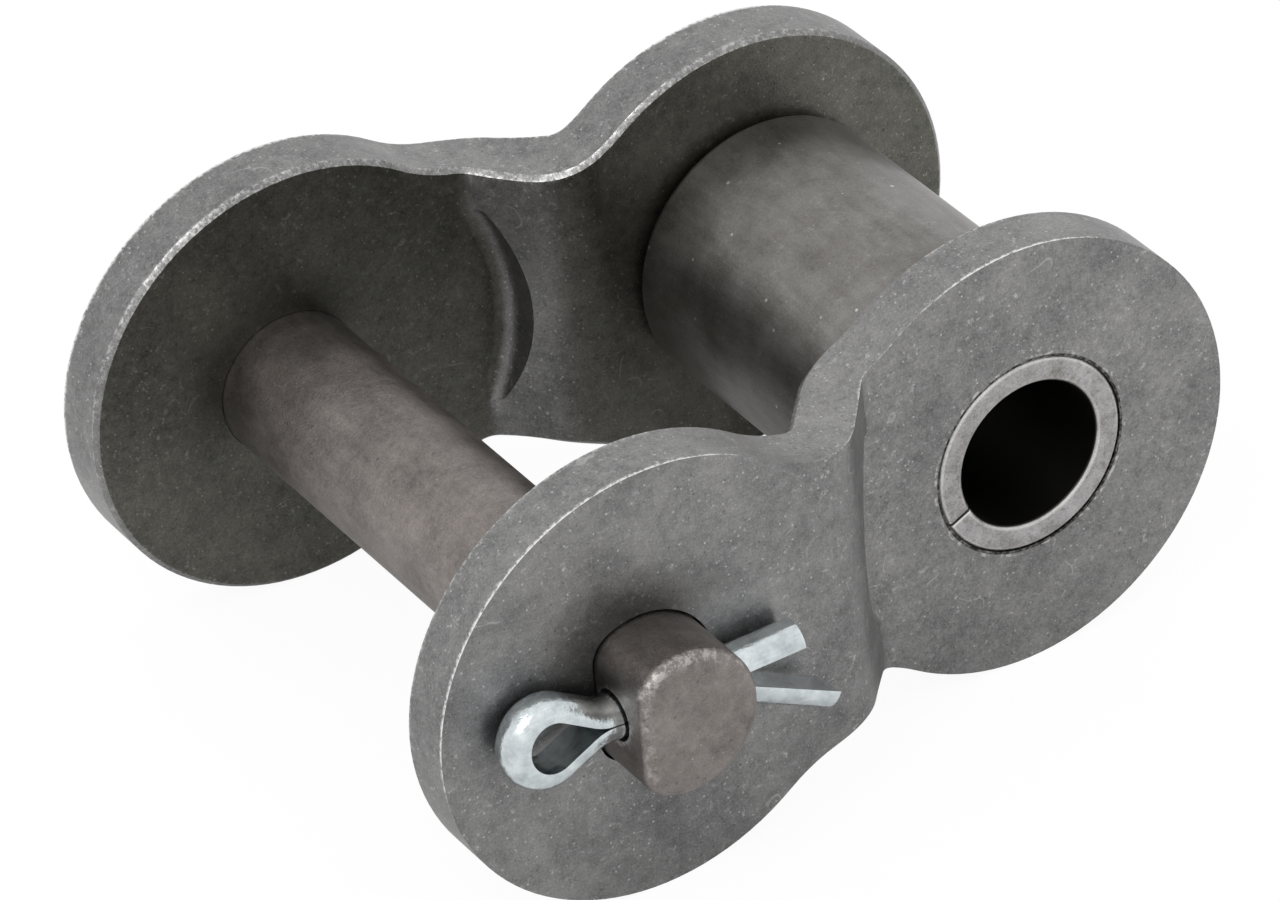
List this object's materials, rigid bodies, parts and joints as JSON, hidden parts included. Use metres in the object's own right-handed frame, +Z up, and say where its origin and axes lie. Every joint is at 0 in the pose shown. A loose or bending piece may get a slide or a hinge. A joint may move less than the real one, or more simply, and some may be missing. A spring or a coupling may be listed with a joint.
{
  "type": "roller chain offset link",
  "caption": "Single-pitch cranked link for roller chain: two offset sidebars, pressed bushing with roller, slip-fit pin with flat, and a cotter.",
  "frame": {"origin": "middle of the bushing's bore, halfway between the sidebars", "axes": "+X along the pitch from the pin to the bushing, +Y along the bushing from the cotter side to the back, +Z up"},
  "size_m": [0.0482, 0.0413, 0.024],
  "materials": {
    "plate_steel": "dark satin heat-treated steel, tumbled",
    "bushing_steel": "ground grey steel",
    "roller_steel": "smooth dark case-hardened steel",
    "pin_steel": "brownish grey case-hardened steel",
    "zinc_wire": "bright zinc-plated half-round wire"
  },
  "bodies": {
    "link": {"front_sidebar": "plate_steel", "back_sidebar": "plate_steel", "bushing": "bushing_steel", "pin": "pin_steel", "cotter_pin": "zinc_wire"},
    "roller": {"roller": "roller_steel"}
  },
  "joints": [
    {"name": "roller_spin", "type": "hinge", "parent": "link", "child": "roller", "pos_m": [0, 0, 0], "axis": [0, 1, 0], "continuous": true}
  ]
}
